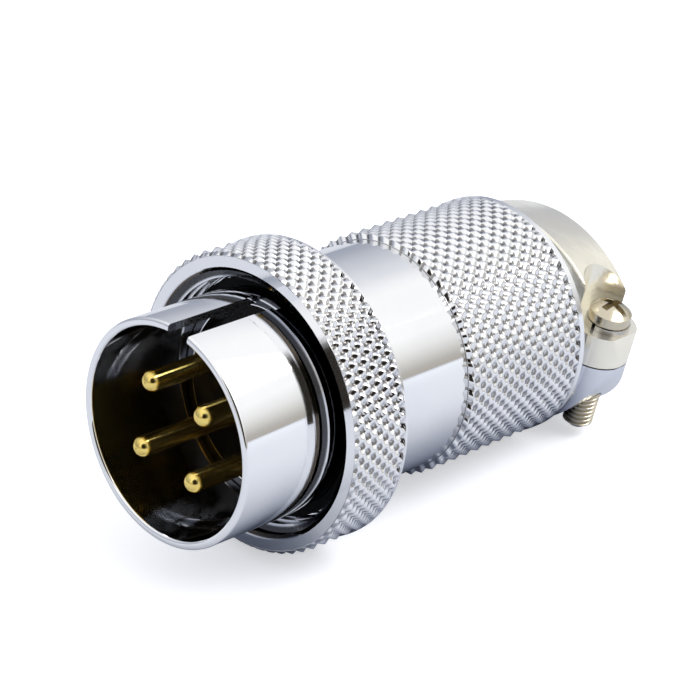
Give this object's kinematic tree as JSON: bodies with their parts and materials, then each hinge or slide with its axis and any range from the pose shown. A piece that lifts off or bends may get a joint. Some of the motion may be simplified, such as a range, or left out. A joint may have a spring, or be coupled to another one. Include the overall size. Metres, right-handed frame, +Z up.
{
  "type": "circular cable connector",
  "caption": "Round metal cable plug with pins in a keyed barrel, a knurled coupling ring, a knurled back sleeve and a screwed cable clamp.",
  "frame": {"origin": "centre of the plug's footprint on the surface that it lies on", "axes": "+Z up; the plug's axis runs from the pins at -X to the cable clamp at +X and falls about 5.3 degrees towards the clamp"},
  "size_m": [0.0537, 0.029, 0.0294],
  "materials": {
    "chrome_plate": "bright chrome plate",
    "nickel_plate": "bright nickel plate",
    "spring_steel": "plain",
    "gold_plate": "gold plate",
    "black_resin": "glossy moulded",
    "black_rubber": "matt"
  },
  "bodies": {
    "plug": {"plug_shell": "chrome_plate", "front_insulator": "black_resin", "back_insulator": "black_resin", "insulator_clip": "spring_steel", "sealing_gasket": "black_rubber", "contact_pin_1": "gold_plate", "contact_pin_2": "gold_plate", "contact_pin_3": "gold_plate", "contact_pin_4": "gold_plate", "rear_sleeve": "chrome_plate", "cable_grommet": "black_rubber", "slip_washer": "spring_steel", "clamp_body": "chrome_plate"},
    "washer": {"thrust_washer": "spring_steel"},
    "ring": {"coupling_ring": "chrome_plate"},
    "saddle": {"clamp_saddle": "nickel_plate", "spring_washer_1": "spring_steel", "spring_washer_2": "spring_steel"},
    "screw_near": {"clamp_screw_1": "nickel_plate"},
    "screw_far": {"clamp_screw_2": "nickel_plate"}
  },
  "joints": [
    {"name": "ring_slide", "type": "slide", "parent": "plug", "child": "washer", "axis": [0.9957, 0, -0.0923], "range_m": [0, 0.0113]},
    {"name": "ring_spin", "type": "hinge", "parent": "washer", "child": "ring", "pos_m": [-0.01276, 0, 0.01472], "axis": [0.9957, 0, -0.0923], "continuous": true},
    {"name": "saddle_lift", "type": "slide", "parent": "plug", "child": "saddle", "axis": [0.0903, -0.2062, 0.9743], "range_m": [0, 0.006]},
    {"name": "screw_near_turn", "type": "hinge", "parent": "saddle", "child": "screw_near", "pos_m": [0.02245, -0.00979, 0.00938], "axis": [0.0903, -0.2062, 0.9743], "range_deg": [0, 4320]},
    {"name": "screw_far_turn", "type": "hinge", "parent": "saddle", "child": "screw_far", "pos_m": [0.02283, 0.00979, 0.01349], "axis": [0.0903, -0.2062, 0.9743], "range_deg": [0, 4320]}
  ],
  "couplings": [
    {"joint": "screw_near_turn", "follows": "saddle_lift", "rad_per_m": 12566},
    {"joint": "screw_far_turn", "follows": "saddle_lift", "rad_per_m": 12566}
  ]
}
